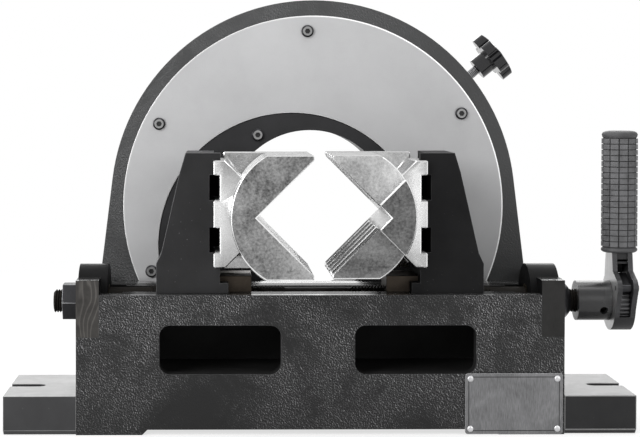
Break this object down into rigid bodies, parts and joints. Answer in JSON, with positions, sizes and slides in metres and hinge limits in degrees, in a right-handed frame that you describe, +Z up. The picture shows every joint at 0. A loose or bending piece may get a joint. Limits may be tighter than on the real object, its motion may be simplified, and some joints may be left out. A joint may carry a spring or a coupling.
{
  "type": "orbital pipe cutter",
  "caption": "Bench pipe cutter: a self-centring vise with interleaving V-jaws on a cast base, and an arch housing whose eccentric rotor carries a plunging saw round the pipe.",
  "frame": {"origin": "on the bench below the pipe axis, midway between the two bench slots", "axes": "+X along the vise spindle towards the lever, +Y along the pipe from the vise to the saw, +Z up"},
  "size_m": [0.4907, 0.4513, 0.3345],
  "materials": {
    "cast_black": "rough black casting paint",
    "arch_grey": "satin dark grey casting paint",
    "milled_steel": "milled bright steel",
    "block_steel": "dark machined steel",
    "black_oxide": "black oxide",
    "bush_bronze": "turned bronze",
    "nut_bronze": "oiled bronze",
    "plate_alu": "matt rolled aluminium",
    "rotor_steel": "matt light grey",
    "disc_black": "smooth black",
    "disc_core": "black anodised",
    "slide_steel": "ground steel",
    "gear_alu": "die cast",
    "guard_black": "satin black",
    "motor_plastic": "fine spark texture",
    "trigger_red": "red",
    "blade_steel": "ground",
    "knob_plastic": "gloss black",
    "carriage_black": "smooth dark grey",
    "jaw_steel": "milled stainless",
    "spindle_steel": "oiled steel",
    "lever_iron": "grey-black casting",
    "grip_rubber": "moulded dark grey rubber"
  },
  "bodies": {
    "base": {"base_casting": "cast_black", "foot_left": "milled_steel", "foot_right": "milled_steel", "foot_bolts": "black_oxide", "end_block_left": "block_steel", "end_block_right": "block_steel", "end_block_screws": "black_oxide", "spindle_bushes": "bush_bronze", "arch_housing": "arch_grey", "housing_bolts": "black_oxide", "lock_bush": "bush_bronze", "name_plate": "plate_alu", "plate_rivets": "plate_alu"},
    "rotor": {"rotor_ring": "rotor_steel", "front_plate": "rotor_steel", "front_plate_screws": "black_oxide", "rotor_keeper": "rotor_steel", "keeper_screws": "black_oxide"},
    "disc": {"eccentric_disc": "disc_core", "disc_cover": "disc_black", "disc_screws": "black_oxide", "slide_base": "slide_steel", "slide_base_screws": "black_oxide"},
    "saw": {"saw_slide": "slide_steel", "slide_gib": "bush_bronze", "gear_case": "gear_alu", "gear_case_screws": "black_oxide", "blade_guard": "guard_black", "motor_housing": "motor_plastic", "motor_end_cap": "motor_plastic", "motor_handle": "motor_plastic", "cable_gland": "motor_plastic"},
    "blade": {"blade_spindle": "slide_steel", "saw_blade": "blade_steel", "blade_flange": "slide_steel", "blade_bolt": "black_oxide"},
    "trigger": {"trigger": "trigger_red"},
    "setting": {"setting_screw": "slide_steel", "setting_knob": "knob_plastic"},
    "vise_left": {"carriage_left": "carriage_black", "jaw_left": "jaw_steel", "jaw_screws_left": "black_oxide", "spindle_nut_left": "nut_bronze"},
    "vise_right": {"carriage_right": "carriage_black", "jaw_right": "jaw_steel", "jaw_screws_right": "black_oxide", "spindle_nut_right": "nut_bronze"},
    "spindle": {"vise_spindle": "spindle_steel", "lock_nut": "black_oxide", "thrust_collar": "black_oxide", "crank_hub": "black_oxide", "ratchet_gear": "lever_iron", "retaining_ring": "black_oxide"},
    "lever": {"ratchet_lever": "lever_iron", "rubber_grip": "grip_rubber", "pawl_pin": "slide_steel"},
    "pawl": {"pawl": "lever_iron"},
    "lock": {"lock_stud": "slide_steel"},
    "knob": {"star_knob": "knob_plastic"}
  },
  "joints": [
    {"name": "rotor_turn", "type": "hinge", "parent": "base", "child": "rotor", "pos_m": [0, 0.084, 0.167], "axis": [0, 1, 0], "continuous": true},
    {"name": "plunge_swing", "type": "hinge", "parent": "rotor", "child": "disc", "pos_m": [-0.01756, 0.084, 0.13398], "axis": [0, 1, 0], "range_deg": [0, 20]},
    {"name": "saw_slide", "type": "slide", "parent": "disc", "child": "saw", "axis": [1, 0, 0], "range_m": [0, 0.055]},
    {"name": "blade_spin", "type": "hinge", "parent": "saw", "child": "blade", "pos_m": [-0.102, 0.137, 0.167], "axis": [0, 1, 0], "continuous": true},
    {"name": "trigger_press", "type": "slide", "parent": "saw", "child": "trigger", "axis": [0, 0, 1], "range_m": [0, 0.004], "stiffness_N_per_m": 600},
    {"name": "setting_turn", "type": "hinge", "parent": "disc", "child": "setting", "pos_m": [0.04, 0.1471, 0.08], "axis": [1, 0, 0], "continuous": true},
    {"name": "vise_close_left", "type": "slide", "parent": "base", "child": "vise_left", "axis": [1, 0, 0], "range_m": [-0.0345, 0.04]},
    {"name": "vise_close_right", "type": "slide", "parent": "base", "child": "vise_right", "axis": [-1, 0, 0], "range_m": [-0.0345, 0.04]},
    {"name": "spindle_turn", "type": "hinge", "parent": "base", "child": "spindle", "pos_m": [0, -0.005, 0.0965], "axis": [1, 0, 0], "continuous": true},
    {"name": "lever_swing", "type": "hinge", "parent": "base", "child": "lever", "pos_m": [0.2366, -0.005, 0.0965], "axis": [1, 0, 0], "range_deg": [-105, 105]},
    {"name": "pawl_lift", "type": "hinge", "parent": "lever", "child": "pawl", "pos_m": [0.2366, -0.028, 0.1085], "axis": [1, 0, 0], "range_deg": [0, 10], "stiffness_Nm_per_rad": 0.05},
    {"name": "lock_travel", "type": "slide", "parent": "base", "child": "lock", "axis": [0.7771, 0, 0.6293], "range_m": [0, 0.004]},
    {"name": "lock_turn", "type": "hinge", "parent": "lock", "child": "knob", "pos_m": [0, 0.084, 0.167], "axis": [0.7771, 0, 0.6293], "continuous": true}
  ],
  "couplings": [
    {"joint": "vise_close_right", "follows": "vise_close_left", "ratio": 1},
    {"joint": "spindle_turn", "follows": "vise_close_left", "rad_per_m": 1256.6},
    {"joint": "setting_turn", "follows": "saw_slide", "rad_per_m": 2094.4},
    {"joint": "lock_turn", "follows": "lock_travel", "rad_per_m": 5026.5}
  ]
}
